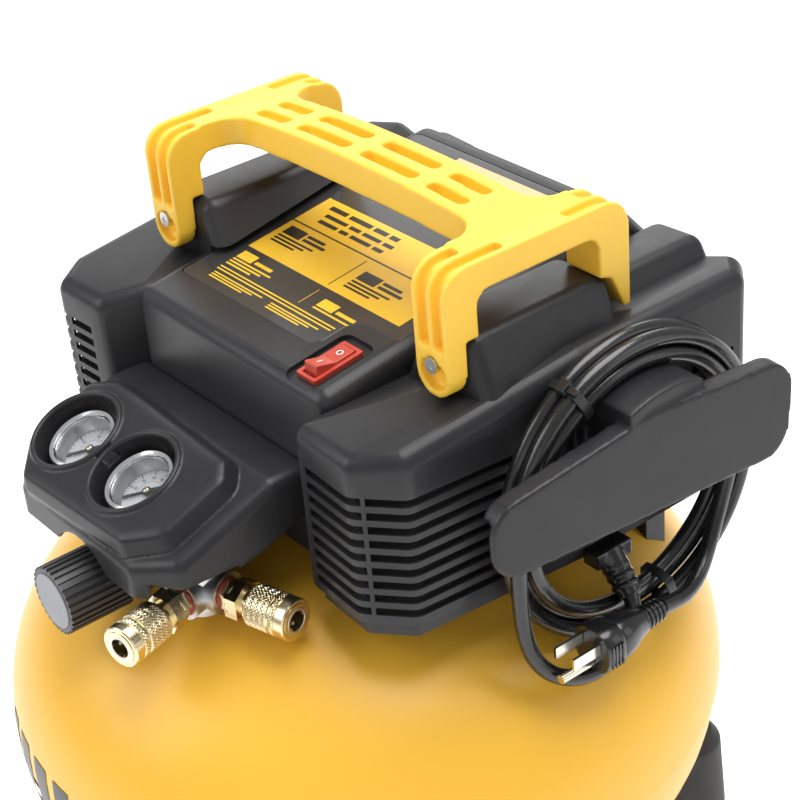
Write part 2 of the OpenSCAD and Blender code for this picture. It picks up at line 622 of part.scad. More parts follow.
module handle_screws() color(steel) for (m = [-1, 1])
  translate([handle_x + m * yoke_off, 0, 0]) {
    difference() {
      union() { ycyl(2.5, -26, -6, 0, 432); ycyl(4.2, -29.4, -26.1, 0, 432); }
      translate([0, -29, 432]) rotate([90, 0, 0]) cylinder(d = 3.4, h = 6, $fn = 6);
    }
    ycyl(2.5, 66, 88.2, 0, 431);
    difference() {
      ycyl(4.2, 88.3, 91, 0, 431);
      translate([0, 95, 431]) rotate([90, 0, 0]) cylinder(d = 3.4, h = 5.5, $fn = 6);
    }
  }

// ---------- cord storage ----------
module at_wrap() translate([189, 42, 0]) rotate([0, 0, -5]) children();
module wrap_outline(o) offset(o) offset(17) offset(-17) polygon([[-90, 345], [92, 344],
  [95, 398], [8, 401], [-90, 384]]);
module cord_wrap() color(black) difference() {
  union() {
    at_wrap() translate([-4, 0, 0]) rotate([90, 0, 90]) linear_extrude(4)
      wrap_outline(0);
    at_wrap() translate([-11, 0, 0]) rotate([90, 0, 90]) linear_extrude(8)
      difference() { wrap_outline(0); wrap_outline(-2.6);
        translate([-200, 300]) square([400, 78]); }
    intersection() {
      translate([152.2, 34, 352]) cube([36, 48, 80]);
      xcyl(coil_r - 18.6, 152.2, 188.2, coil_c[0], coil_c[1]);
    }
    translate([152.2, 28, 352]) cube([4, 60, 34]);
  }
  translate([156.2, 38, 340]) cube([24, 40, 58]);
  for (y = [31, 85]) xcyl(2.2, 140, 172, y, 369);
}
grip = [152, 50, 303];    // where the cord leaves the frame
grip_a = 40;              // its lean outward from straight down
module along_exit() translate(grip) rotate([0, 180 - grip_a, 0]) children();
module cord_gland() color(black) difference() {
  union() {
    translate([147.1, 38, 298]) cube([11, 24, 9]);
    along_exit() cylinder(r1 = 8, r2 = 6, h = 26);
    for (i = [0:3]) along_exit() translate([0, 0, 4 + i * 5]) cylinder(r = 7.6, h = 2);
  }
  along_exit() translate([0, 0, 1]) cylinder(d = cord_d + 0.1, h = 40);
}

// ---------- drain ----------
module drain_body() color(brass) difference() {
  union() {
    translate([0, -60, 34]) cylinder(r = 4.95, h = 30);
    translate([0, -60, 46]) hexz(14, 9.5);
  }
  translate([0, -60, 30]) cylinder(r = 2.05, h = 22);
}
module drain_tee() color(brass) translate([0, -60, 0]) union() {
  translate([0, 0, 24]) cylinder(r = 2, h = 26);
  translate([0, 0, 20]) cylinder(r = 6, h = 12);
  translate([-14, -2, 21]) cube([28, 4, 9]);
}

// ---------- cord ----------
function cr(a, b, c, d, t) = 0.5 * ((2 * b) + (c - a) * t + (2 * a - 5 * b + 4 * c - d)
  * t * t + (3 * b - a - 3 * c + d) * t * t * t);
function route(p, n) = [for (i = [0:len(p) - 2]) for (k = [0:n - 1])
  cr(p[max(i - 1, 0)], p[i], p[i + 1], p[min(i + 2, len(p) - 1)], k / n),
  p[len(p) - 1]];
function unit(v) = v / norm(v);
function side(t) = unit(cross(t, abs(t[0]) > 0.9 ? [0, 0, 1] : [1, 0, 0]));
module tube(path, r, ns = 8) {
  m = len(path);
  pts = [for (i = [0:m - 1]) let (t = unit(path[min(i + 1, m - 1)] - path[max(i - 1, 0)]),
    u = side(t), v = cross(t, u)) for (j = [0:ns - 1])
    path[i] + r * (u * cos(360 * j / ns) + v * sin(360 * j / ns))];
  faces = concat([[for (j = [0:ns - 1]) j]],
    [for (i = [0:m - 2]) for (j = [0:ns - 1]) let (a = i * ns + j, b = i * ns + (j + 1) % ns)
      [a, a + ns, b + ns, b]],
    [[for (j = [ns - 1:-1:0]) (m - 1) * ns + j]]);
  polyhedron(pts, faces, convexity = 4);
}
coil_c = [58, 344.4];
coil_r = 84;
coil_x = [153, 170.6];
lead_pts = [grip + 3 * [sin(grip_a), 0, -cos(grip_a)],
  grip + 26 * [sin(grip_a), 0, -cos(grip_a)], [178, 43, 272], [183, 28, 264], [184, 10, 261],
  [180, -9, 266.5], [174.5, -19.5, 278], [170, -22.8, 292], [167, -21.8, 310],
  [166.2, -21, 335.2]];
tail_pts = [[166.2, 115.8, 303], [169.8, 107.3, 292.5], [176, 96.3, 282],
  [181.5, 83.5, 278], [185, 69.5, 279.8], [186, 54.8, 282]];
module cord_tube() color(black) tube(route(lead_pts, 2), cord_d / 2);
module cord_tail() color(black) tube(route(tail_pts, 2), cord_d / 2);
module cord_coil() color(black) translate([coil_x[0], coil_c[0], coil_c[1]])
  rotate([0, 90, 0]) rotate_extrude($fn = 96)
  translate([coil_r - 18, 0]) square([18, coil_x[1] - coil_x[0]]);
plug = [186, 282];         // x and z of the plug's axis
module plug_body() color(black) union() {
  ycyl(6, 36, 53.9, plug[0], plug[1]);
  hull() {
    ycyl(8, 32, 38, plug[0], plug[1], 32);
    ycyl(12.6, 6, 20, plug[0], plug[1], 32);
  }
}
module plug_prongs() color(brass) {
  for (s = [-1, 1]) translate([plug[0] + s * 6.35 - 0.75, -11.9, plug[1] + 1])
    cube([1.5, 17.8, 6.4]);
  ycyl(2.4, -14.5, 5.9, plug[0], plug[1] - 7);
}
module cord_ties() color([0.08, 0.08, 0.08]) for (a = [30, 195])
  translate([0, coil_c[0], coil_c[1]]) rotate([a, 0, 0]) difference() {
    translate([coil_x[0] - 1.2, -2.5, coil_r - 19.6])
      cube([coil_x[1] - coil_x[0] + 2.8, 5, 21.4]);
    translate([coil_x[0] - 0.1, 0, 0]) rotate([0, 90, 0]) difference() {
      cylinder(r = coil_r + 0.1, h = coil_x[1] - coil_x[0] + 0.2, $fn = 96);
      translate([0, 0, -1]) cylinder(r = coil_r - 18.1, h = 30, $fn = 96);
    }
  }

tank_upper();
tank_lower();
tank_seam();
tank_ports();
rubber_feet();
foot_studs();
pump_base();
isolators();
motor_stator();
motor_windings();
motor_end_frames();
motor_rotor();
motor_fan();
crankcase();
piston_rod();
cylinder_barrel();
valve_plate();
cylinder_head();
head_bolts();
intake_filter();
discharge_tube();
check_valve();
pressure_switch();
feed_pipe();
unloader_tube();
manifold();
regulator_body();
regulator_knob();
knob_cap();
relief_body();
relief_pull();
gauge_cases();
gauge_dials();
gauge_bezels();
gauge_lenses();
needle_left();
needle_right();
panel_cover();
outlet_nipples();
coupler_bodies();
coupler_valves();
sleeve_front();
sleeve_side();
skirt_frame();
shroud();
label_plate();
switch_bezel();
switch_rocker();
handle();
handle_screws();
cord_wrap();
cord_gland();
drain_body();
drain_tee();
cord_tube();
cord_coil();
cord_tail();
cord_ties();
plug_body();
plug_prongs();
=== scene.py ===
"""Looks of a pancake air compressor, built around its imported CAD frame. All lengths are in metres."""

import json
import math
import random

import bmesh
import bpy
from mathutils import Matrix, Vector


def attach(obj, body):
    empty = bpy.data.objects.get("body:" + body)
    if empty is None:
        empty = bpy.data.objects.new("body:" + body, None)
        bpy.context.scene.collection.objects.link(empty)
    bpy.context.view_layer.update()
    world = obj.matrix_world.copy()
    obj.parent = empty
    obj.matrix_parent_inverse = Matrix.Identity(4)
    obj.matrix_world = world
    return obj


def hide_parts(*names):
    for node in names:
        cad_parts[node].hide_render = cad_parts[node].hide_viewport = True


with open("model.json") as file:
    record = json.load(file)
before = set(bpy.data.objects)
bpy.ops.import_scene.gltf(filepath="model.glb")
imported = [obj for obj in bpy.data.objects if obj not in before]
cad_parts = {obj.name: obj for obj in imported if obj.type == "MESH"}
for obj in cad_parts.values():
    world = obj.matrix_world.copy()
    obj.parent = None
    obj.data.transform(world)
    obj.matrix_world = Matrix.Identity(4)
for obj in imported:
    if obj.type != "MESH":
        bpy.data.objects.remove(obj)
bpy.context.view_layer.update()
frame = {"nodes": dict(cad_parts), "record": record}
nodes = frame["nodes"]
MM = 0.001

# ---------- camera ----------
AZIMUTH, ELEVATION, ROLL = math.radians(53.8), math.radians(31.13), math.radians(-5.13)
CAMERA_AT = Vector((0.7388, -0.5006, 0.8844))


def make_camera():
    back = Vector((math.sin(AZIMUTH) * math.cos(ELEVATION),
                   -math.cos(AZIMUTH) * math.cos(ELEVATION), math.sin(ELEVATION)))
    level = Vector((math.cos(AZIMUTH), math.sin(AZIMUTH), 0))
    upright = back.cross(level)
    right = level * math.cos(ROLL) + upright * math.sin(ROLL)
    up = upright * math.cos(ROLL) - level * math.sin(ROLL)
    data = bpy.data.cameras.new("camera")
    data.lens, data.sensor_width, data.clip_start = 87.2, 36, 0.01
    camera = bpy.data.objects.new("camera", data)
    camera.matrix_world = Matrix((
        (right.x, up.x, back.x, CAMERA_AT.x), (right.y, up.y, back.y, CAMERA_AT.y),
        (right.z, up.z, back.z, CAMERA_AT.z), (0, 0, 0, 1)))
    bpy.context.scene.collection.objects.link(camera)
    bpy.context.scene.camera = camera


make_camera()

# ---------- the places that part.scad gives ----------
SLOPE = math.radians(8.13)                  # fall of the cover's top towards the front
TOP_AT = Vector((0, -0.05527, 0.40991))     # a point on that top
TILT = math.radians(22)                     # slope of the gauge panel
GAUGE_X = (-0.061, -0.005)
FACE_AT = Vector((0, -0.1255, 0.359))       # a point on the gauge panel
TEE = Vector((0.025, -0.113, 0.300))
OUTLET_TURN = math.radians(15)
COIL_AT = Vector((0.1618, 0.058, 0.3444))
CORD_D = 0.0086
PLUG_X, PLUG_Z = 0.186, 0.282
ON_TOP = Matrix.Translation(TOP_AT) @ Matrix.Rotation(SLOPE, 4, "X")


def on_face(x):
    return Matrix.Translation(FACE_AT + Vector((x, 0, 0))) @ Matrix.Rotation(TILT, 4, "X")


def outlet(side):
    """Frame of an outlet, +Z out of its mouth. side 0 is the front one, 1 the right one."""
    turn = Matrix.Translation(TEE) @ Matrix.Rotation(OUTLET_TURN, 4, "Z")
    axis = ("X", "Y")[side]
    return turn @ Matrix.Rotation(math.pi / 2, 4, axis)


# ---------- materials ----------
def material(name, colour, rough=0.5, metal=0.0, tint=0.06, tint_scale=30, grain=0.0,
             grain_scale=900, rough_spread=0.08, coat=0.0, spec=0.5, stretch=(1, 1, 1),
             wear=0.0, wear_colour=None, transmission=0.0, coat_rough=0.08):
    """A principled surface with noise in its colour and roughness, and a fine bump."""
    made = bpy.data.materials.new(name)
    made.use_nodes = True
    tree = made.node_tree
    shader = tree.nodes["Principled BSDF"]
    links = tree.links
    place = tree.nodes.new("ShaderNodeTexCoord")
    spread = tree.nodes.new("ShaderNodeMapping")
    spread.inputs["Scale"].default_value = stretch
    links.new(place.outputs["Object"], spread.inputs["Vector"])

    def noise(scale, detail):
        node = tree.nodes.new("ShaderNodeTexNoise")
        node.inputs["Scale"].default_value = scale
        node.inputs["Detail"].default_value = detail
        links.new(spread.outputs["Vector"], node.inputs["Vector"])
        return node

    broad = noise(tint_scale, 5)
    ramp = tree.nodes.new("ShaderNodeValToRGB")
    ramp.color_ramp.elements[0].position = 0.3
    ramp.color_ramp.elements[1].position = 0.7
    ramp.color_ramp.elements[0].color = [c * (1 - tint) for c in colour] + [1]
    ramp.color_ramp.elements[1].color = [min(1, c * (1 + tint)) for c in colour] + [1]
    links.new(broad.outputs["Fac"], ramp.inputs["Fac"])
    final = ramp.outputs["Color"]
    if wear:
        # paler where the surface turns sharply, as handling leaves it
        edge = tree.nodes.new("ShaderNodeNewGeometry")
        sharp = tree.nodes.new("ShaderNodeValToRGB")
        sharp.color_ramp.elements[0].position = 0.52
        sharp.color_ramp.elements[1].position = 0.62
        links.new(edge.outputs["Pointiness"], sharp.inputs["Fac"])
        scaled = tree.nodes.new("ShaderNodeMath")
        scaled.operation = "MULTIPLY"
        scaled.inputs[1].default_value = wear
        links.new(sharp.outputs["Color"], scaled.inputs[0])
        blend = tree.nodes.new("ShaderNodeMix")
        blend.data_type = "RGBA"
        links.new(scaled.outputs["Value"], blend.inputs["Factor"])
        links.new(final, blend.inputs[6])
        blend.inputs[7].default_value = list(wear_colour or colour) + [1]
        final = blend.outputs[2]
    links.new(final, shader.inputs["Base Color"])
    patch = noise(tint_scale * 2.3, 4)
    rough_range = tree.nodes.new("ShaderNodeMapRange")
    rough_range.inputs["To Min"].default_value = max(0.02, rough - rough_spread)
    rough_range.inputs["To Max"].default_value = min(1, rough + rough_spread)
    links.new(patch.outputs["Fac"], rough_range.inputs["Value"])
    links.new(rough_range.outputs["Result"], shader.inputs["Roughness"])
    if grain:
        fine = noise(grain_scale, 3)
        bump = tree.nodes.new("ShaderNodeBump")
        bump.inputs["Strength"].default_value = grain
        bump.inputs["Distance"].default_value = 0.0004
        links.new(fine.outputs["Fac"], bump.inputs["Height"])
        links.new(bump.outputs["Normal"], shader.inputs["Normal"])
    shader.inputs["Metallic"].default_value = metal
    shader.inputs["Specular IOR Level"].default_value = spec
    shader.inputs["Coat Weight"].default_value = coat
    shader.inputs["Coat Roughness"].default_value = coat_rough
    shader.inputs["Transmission Weight"].default_value = transmission
    made.diffuse_color = list(colour) + [1]
    return made


M = {
    "tank_paint": material("tank_paint", (0.89, 0.49, 0.045), 0.36, tint=0.02, tint_scale=9,
                           grain=0.05, grain_scale=320, coat=0.12, rough_spread=0.05,
                           coat_rough=0.25, spec=0.35),
    "handle_yellow": material("handle_yellow", (0.95, 0.58, 0.05), 0.42, tint=0.03,
                              grain=0.12, grain_scale=1400, wear=0.35,
                              wear_colour=(1.0, 0.66, 0.12)),
    "black_plastic": material("black_plastic", (0.021, 0.021, 0.023), 0.34, tint=0.12,
                              tint_scale=40, grain=0.16, grain_scale=1500, wear=0.4,
                              wear_colour=(0.06, 0.06, 0.065), rough_spread=0.07, spec=0.3),
    "knob_plastic": material("knob_plastic", (0.022, 0.022, 0.023), 0.42, tint=0.1,
                             grain=0.2, grain_scale=1300, wear=0.4,
                             wear_colour=(0.08, 0.08, 0.08)),
    "grey_plastic": material("grey_plastic", (0.2, 0.208, 0.23), 0.35, grain=0.08),
    "foot_rubber": material("foot_rubber", (0.018, 0.018, 0.018), 0.62, grain=0.3,
                            grain_scale=700),
    "brass": material("brass", (0.78, 0.67, 0.43), 0.22, metal=1, tint=0.07, tint_scale=90,
                      grain=0.06, grain_scale=1800, stretch=(1, 1, 4)),
    "steel": material("steel", (0.58, 0.59, 0.6), 0.32, metal=1, tint=0.1, grain=0.1,
                      grain_scale=1200),
    "cast_alloy": material("cast_alloy", (0.62, 0.63, 0.65), 0.36, metal=1, tint=0.1,
                           tint_scale=120, grain=0.35, grain_scale=1100),
    "copper": material("copper", (0.66, 0.33, 0.18), 0.3, metal=1, tint=0.12, grain=0.1),
    "rotor_iron": material("rotor_iron", (0.26, 0.26, 0.27), 0.42, metal=1, grain=0.2),
    "pale_plastic": material("pale_plastic", (0.7, 0.68, 0.6), 0.5, grain=0.1),
    "chrome": material("chrome", (0.8, 0.81, 0.83), 0.12, metal=1, tint=0.03, grain=0.03,
                       rough_spread=0.04),
    "dial_white": material("dial_white", (0.82, 0.83, 0.84), 0.45, tint=0.02, grain=0.03),
    "needle_black": material("needle_black", (0.012, 0.012, 0.012), 0.35, grain=0.05),
    "clear_lens": material("clear_lens", (0.97, 0.98, 1.0), 0.03, tint=0.005,
                           rough_spread=0.01, transmission=1.0),
    "label_face": material("label_face", (0.035, 0.035, 0.036), 0.3, tint=0.08, grain=0.05,
                           grain_scale=700, coat=0.2),
    "switch_red": material("switch_red", (0.47, 0.05, 0.03), 0.36, tint=0.08,
                           tint_scale=120, grain=0.05, coat=0.1),
    "cord_black": material("cord_black", (0.012, 0.012, 0.013), 0.26, tint=0.15,
                           tint_scale=60, grain=0.14, grain_scale=600, coat=0.3,
                           rough_spread=0.09),
    "tie_black": material("tie_black", (0.014, 0.014, 0.014), 0.34, grain=0.1),
    "print_yellow": material("print_yellow", (0.80, 0.50, 0.035), 0.33, tint=0.03,
                             tint_scale=60, grain=0.03),
    "print_gold": material("print_gold", (0.63, 0.47, 0.24), 0.36, tint=0.04, grain=0.03),
    "print_pale": material("print_pale", (0.74, 0.66, 0.48), 0.36, tint=0.04, grain=0.03),
    "print_dark": material("print_dark", (0.02, 0.02, 0.02), 0.36, tint=0.05, grain=0.03),
    "mark_white": material("mark_white", (0.85, 0.85, 0.85), 0.4, tint=0.02, grain=0.03),
    "sealant": material("sealant", (0.42, 0.07, 0.03), 0.42, tint=0.25, tint_scale=700,
                        grain=0.6, grain_scale=900),
    "blade": material("blade", (0.68, 0.65, 0.56), 0.2, metal=1, tint=0.06, grain=0.06),
    # near-black colour of the sheets behind the louvres: painted shade in the slots
    "painted_shade_black": material("painted_shade_black", (0.006, 0.006, 0.006), 0.8, grain=0.1),
}
for entry in frame["record"]["subparts"]:
    node = nodes[entry["node"]]
    node.data.materials.clear()
    node.data.materials.append(M[entry["material_slot"]])
nodes["plug_prongs"].data.materials[0] = M["blade"]
nodes["discharge_tube"].data.materials[0] = M["copper"]


# ---------- shading of the CAD nodes ----------
def smooth_all(node, angle=32):
    """Joins the triangles of a CAD node and shades it smooth below an angle."""
    data = node.data
    data.polygons.foreach_set("use_smooth", [True] * len(data.polygons))
    normals = data.attributes.get("custom_normal")
    if normals:
        data.attributes.remove(normals)
    weld = node.modifiers.new("weld", "WELD")
    weld.merge_threshold = 0.00001
    split = node.modifiers.new("split", "EDGE_SPLIT")
    split.split_angle = math.radians(angle)


def soften(node, voxel, rounds):
    """Rounds every edge of a moulded CAD node a little, as a mould does."""
    weld = node.modifiers.new("weld", "WELD")
    weld.merge_threshold = 0.00001
    remesh = node.modifiers.new("remesh", "REMESH")
    remesh.mode, remesh.voxel_size, remesh.use_smooth_shade = "VOXEL", voxel, True
    ease = node.modifiers.new("ease", "SMOOTH")
    ease.factor, ease.iterations = 0.5, rounds


SOFT = {"handle": (0.0010, 5), "panel_cover": (0.0009, 4), "cord_wrap": (0.0010, 5),
        "cord_gland": (0.0006, 3), "switch_rocker": (0.0004, 3), "knob_cap": (0.0005, 2),
        "label_plate": (0.0005, 1), "rubber_feet": (0.0014, 3)}
for name, node in nodes.items():
    if name in SOFT:
        soften(node, *SOFT[name])
    else:
        smooth_all(node)


# ---------- making pieces ----------
def link(name, data, body, *materials):
    piece = bpy.data.objects.new(name, data)
    bpy.context.scene.collection.objects.link(piece)
    for one in materials:
        piece.data.materials.append(M[one])
    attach(piece, body)
    return piece


def from_bmesh(name, form, body, *materials, smooth=True):
    data = bpy.data.meshes.new(name)
    form.to_mesh(data)
    form.free()
    for face in data.polygons:
        face.use_smooth = smooth
    return link(name, data, body, *materials)


def lathe(form, place, profile, steps=64, wave=None, index=0):
    """Adds a surface of revolution about the place's Z axis. wave(i, j) adds to the radius."""
    rings = []
    for j, (radius, height) in enumerate(profile):
        ring = []
        for i in range(steps):
            turn = 2 * math.pi * i / steps
            r = radius + (wave(i, j) if wave else 0)
            ring.append(form.verts.new(place @ Vector((r * math.cos(turn),
                                                       r * math.sin(turn), height))))
        rings.append(ring)
    for low, high in zip(rings, rings[1:]):
        for i in range(steps):
            k = (i + 1) % steps
            face = form.faces.new((low[i], low[k], high[k], high[i]))
            face.material_index = index
    return rings


def bar(form, place, low, high, index=0, sink=0.0):
    """Adds a thin printed or moulded block between two corners in the place's own axes."""
    corners = [Vector((x, y, z)) for z in (low[2] - sink, high[2])
               for x, y in ((low[0], low[1]), (high[0], low[1]), (high[0], high[1]),
                            (low[0], high[1]))]
    v = [form.verts.new(place @ c) for c in corners]
    for f in ((3, 2, 1, 0), (4, 5, 6, 7), (0, 1, 5, 4), (1, 2, 6, 5), (2, 3, 7, 6),
              (3, 0, 4, 7)):
        form.faces.new([v[k] for k in f]).material_index = index


def tube_curve(name, points, radius, body, material_name):
    """A smooth tube through points."""
    curve = bpy.data.curves.new(name, "CURVE")
    curve.dimensions, curve.bevel_depth, curve.bevel_resolution = "3D", radius, 4
    curve.use_fill_caps = True
    line = curve.splines.new("POLY")
    line.points.add(len(points) - 1)
    for p, q in zip(line.points, points):
        p.co = (*q, 1)
    line.use_smooth = True
    return link(name, curve, body, material_name)


def catmull(points, steps):
    """The line that part.scad draws through given points."""
    line = []
    last = len(points) - 1
    for i in range(last):
        a, b = points[max(i - 1, 0)], points[i]
        c, d = points[i + 1], points[min(i + 2, last)]
        for k in range(steps):
            t = k / steps
            line.append(0.5 * ((2 * b) + (c - a) * t + (2 * a - 5 * b + 4 * c - d) * t * t
                               + (3 * b - a - 3 * c + d) * t ** 3))
    return line + [points[-1]]


def glyphs(form, place, text, size, index):
    """Adds flat characters, centred on a place."""
    font = bpy.data.curves.new("glyphs", "FONT")
    font.body, font.size, font.align_x, font.align_y = text, size, "CENTER", "CENTER"
    font.resolution_u = 3
    holder = bpy.data.objects.new("glyphs", font)
    bpy.context.scene.collection.objects.link(holder)
    bpy.context.view_layer.update()
    flat = bpy.data.meshes.new_from_object(holder)
    first_vert, first_face = len(form.verts), len(form.faces)
    form.from_mesh(flat)
    form.verts.ensure_lookup_table()
    form.faces.ensure_lookup_table()
    for v in form.verts[first_vert:]:
        v.co = place @ v.co
    for f in form.faces[first_face:]:
        f.material_index = index
    bpy.data.objects.remove(holder)
    bpy.data.curves.remove(font)


# ---------- gauges ----------
LENS_Z = -0.007
DIAL_Z = LENS_Z - 0.0098
FIRST, SWEEP = math.radians(225), math.radians(270)


def gauge(name, x, top_value, marks, needle_body):
    """Printed dial, reflector ring and needle hub of one gauge."""
    place = on_face(x)
    print_at = place @ Matrix.Translation((0, 0, DIAL_Z))
    form = bmesh.new()
    steps = marks * 5
    for i in range(steps + 1):
        spoke = print_at @ Matrix.Rotation(FIRST - SWEEP * i / steps, 4, "Z")
        major = i % 5 == 0
        inner, half = (0.0118, 0.00022) if major else (0.0134, 0.00011)
        bar(form, spoke, (inner, -half, 0.00002), (0.0150, half, 0.0001))
        if i % 2 == 0:
            bar(form, spoke, (0.0070, -0.0001, 0.00002), (0.0077, 0.0001, 0.0001), 1)
    for i in range(marks + 1):
        turn = FIRST - SWEEP * i / marks
        spot = print_at @ Matrix.Translation((0.0098 * math.cos(turn),
                                              0.0098 * math.sin(turn), 0.0001))
        glyphs(form, spot, str(top_value * i // marks), 0.0026, 0)
    arc = 48
    for k in range(arc):
        a, b = (FIRST - SWEEP * j / arc for j in (k, k + 1))
        for r, wide in ((0.0150, 0.00014), (0.0077, 0.0001)):
            quad = [print_at @ Vector((q * math.cos(t), q * math.sin(t), 0.0001))
                    for q, t in ((r, a), (r, b), (r + wide, b), (r + wide, a))]
            form.faces.new([form.verts.new(p) for p in reversed(quad)])
    from_bmesh(f"{name}_print", form, "base", "needle_black", "sealant", smooth=False)

    form = bmesh.new()
    lathe(form, place, [(0.0166, LENS_Z - 0.0017), (0.0171, LENS_Z - 0.0022),
                        (0.0169, LENS_Z - 0.0034), (0.0161, LENS_Z - 0.0052),
                        (0.0158, DIAL_Z + 0.0012), (0.0152, DIAL_Z + 0.0003),
                        (0.0152, DIAL_Z + 0.0001)])
    from_bmesh(f"{name}_reflector", form, "base", "steel")

    form = bmesh.new()
    rings = lathe(form, place, [(0.0017, LENS_Z - 0.0074), (0.0017, LENS_Z - 0.0068),
                                (0.0013, LENS_Z - 0.0064), (0.0004, LENS_Z - 0.0062)], 32)
    form.faces.new(rings[-1])
    from_bmesh(f"{name}_hub", form, needle_body, "brass")

    # rolled lip round the well
    form = bmesh.new()
    lathe(form, place, [(0.0236, 0.0012), (0.0240, 0.0024), (0.0250, 0.0029),
                        (0.0261, 0.0027), (0.0268, 0.0018), (0.0271, 0.0004)], 96)
    from_bmesh(f"{name}_lip", form, "base", "black_plastic")


gauge("tank_gauge", GAUGE_X[0], 200, 5, "needle_l")
gauge("outlet_gauge", GAUGE_X[1], 160, 8, "needle_r")


# ---------- couplers ----------
def knurl(name, side, body):
    """Diamond knurling on a coupler's sleeve, in two bands."""
    around, pitch, deep = 36, 0.0024, 0.00036
    steps = around * 6
    form = bmesh.new()
    for low, high in ((0.0362, 0.0499), (0.0517, 0.0545)):
        rows = int((high - low) / 0.00036)
        heights = [low + (high - low) * j / rows for j in range(rows + 1)]

        def relief(i, j):
            if j in (0, rows):
                return -0.0001
            z, t = heights[j] / pitch, i / 6
            saw = [1 - abs(2 * ((t + s * z) % 1) - 1) for s in (1, -1)]
            return deep * min(1, 1.6 * min(saw))

        lathe(form, outlet(side), [(0.01100, z) for z in heights], steps, relief)
    from_bmesh(name, form, body, "brass", smooth=False)


def coupler_details(name, side):
    place = outlet(side)
    form = bmesh.new()
    lathe(form, place, [(0.00545, 0.0600), (0.00545, 0.0617), (0.0058, 0.0621),
                        (0.0069, 0.0621), (0.0073, 0.0618), (0.0073, 0.0612)])
    # locking balls just inside the mouth
    for k in range(4):
        turn = Matrix.Rotation(k * math.pi / 2 + 0.4, 4, "Z")
        spot = place @ turn @ Matrix.Translation((0.0056, 0, 0.0565))
        bmesh.ops.create_uvsphere(form, u_segments=16, v_segments=10, radius=0.0013,
                                  matrix=spot)
    from_bmesh(f"{name}_mouth", form, "base", "steel")
    random.seed(7 + side)
    form = bmesh.new()
    ripple = [random.uniform(-0.0004, 0.0005) for _ in range(64 * 8)]
    lathe(form, place, [(0.0066, 0.0165), (0.0082, 0.0168), (0.0089, 0.0174),
                        (0.0086, 0.0182), (0.0079, 0.0186), (0.0070, 0.0188)], 64,
          lambda i, j: ripple[i * 8 + j] if 0 < j < 5 else 0)
    from_bmesh(f"{name}_sealant", form, "base", "sealant")
    # hexagon edge chamfer ring between nipple and coupler
    form = bmesh.new()
    lathe(form, place, [(0.0085, 0.0222), (0.0096, 0.0228), (0.0104, 0.0236),
                        (0.0104, 0.0246), (0.0096, 0.0254), (0.0085, 0.0258)])
    from_bmesh(f"{name}_collar", form, "base", "brass")


knurl("front_knurl", 0, "sleeve_f")
knurl("side_knurl", 1, "sleeve_s")
coupler_details("front_coupler", 0)
coupler_details("side_coupler", 1)


# ---------- printed plate, with plain bars for every line of words ----------
PLATE_W = -0.0002                            # height of the plate's face on the sloped top


def plate_print():
    form = bmesh.new()
    thick, over = 0.00012, 0.00022

    def block(x0, v0, x1, v1, index, top=thick):
        bar(form, ON_TOP @ Matrix.Translation((0, 0, PLATE_W)),
            (x0 * MM, v0 * MM, 0), (x1 * MM, v1 * MM, top), index, sink=0.0001)

    block(-71, 55.5, 60, 113, 0)                       # yellow field
    block(-40, 140, 62, 183, 1)                        # gold field
    for v in (125.5, 133.5):                           # thin pale and gold stripes
        block(-70, v, 62, v + 3.6, 1 if v > 130 else 2)
    block(-70, 130, -40, 132.6, 2)
    # heading: three lines of bars
    for row, (v, size, start) in enumerate(((105, 3.4, -62), (98.6, 2.8, -58), (92.8, 2.8, -57))):
        x = start
        for word in ((15, 19, 11, 7), (19, 9, 15, 8), (16, 7, 17, 8))[row]:
            block(x, v, x + word, v + size, 3, over)
            x += word + 2.6
    block(-71, 86.4, 60, 87.4, 3, over)
    block(-2, 58, -1.4, 84, 3, over)
    # figures: a heavy bar with light lines beside and below
    for x, v in ((-66, 75), (6, 70)):
        block(x, v, x + 15, v + 7.5, 3, over)
        for k in range(2):
            block(x + 17, v + 0.8 + 3.6 * k, x + 36 - 4 * k, v + 3 + 3.6 * k, 3, over)
        for k in range(3):
            block(x, v - 3 - 2.7 * k, x + 31 - 5 * k, v - 1.6 - 2.7 * k, 3, over)
    # lower rows on the dark field
    for x, v in ((-68, 45), (8, 42)):
        block(x, v, x + 13, v + 6.6, 0)
        block(x + 15, v + 1, x + 30, v + 3.4, 0)
        for k in range(3 if x < 0 else 1):
            block(x, v - 2.4 - 2.4 * k, x + 34 - 6 * k, v - 1.2 - 2.4 * k, 0)
    block(-2, 38, -1.6, 52, 0)
    for v, right in ((34.2, 34), (31.8, 33)):
        block(-68, v, right, v + 0.9, 0)
    for k in range(3):
        block(-66, 28.6 - 1.9 * k, -22 - 7 * k, 29.5 - 1.9 * k, 0)
        block(-14, 28.6 - 1.9 * k, 27 - 6 * k, 29.5 - 1.9 * k, 0)
    from_bmesh("plate_print", form, "base", "print_yellow", "print_gold", "print_pale",
               "print_dark", smooth=False)


plate_print()


# ---------- switch marks ----------
def switch_marks():
    rocker = (ON_TOP @ Matrix.Translation((0.054, 0.0155, -0.0020))
              @ Matrix.Rotation(math.radians(-10), 4, "X"))
    dip = math.radians(10.4)
    form = bmesh.new()
    rear = rocker @ Matrix.Translation((0, 0.0062, 0.00428)) @ Matrix.Rotation(dip, 4, "X")
    lathe(form, rear, [(0.00135, 0.0), (0.00140, 0.00014), (0.0019, 0.00014),
                       (0.00195, 0.0)], 32)
    front = rocker @ Matrix.Translation((0, -0.0062, 0.00428)) @ Matrix.Rotation(-dip, 4, "X")
    bar(form, front, (-0.0003, -0.0018, 0), (0.0003, 0.0018, 0.00014), sink=0.0002)
    from_bmesh("switch_marks", form, "rocker", "mark_white", smooth=False)


switch_marks()


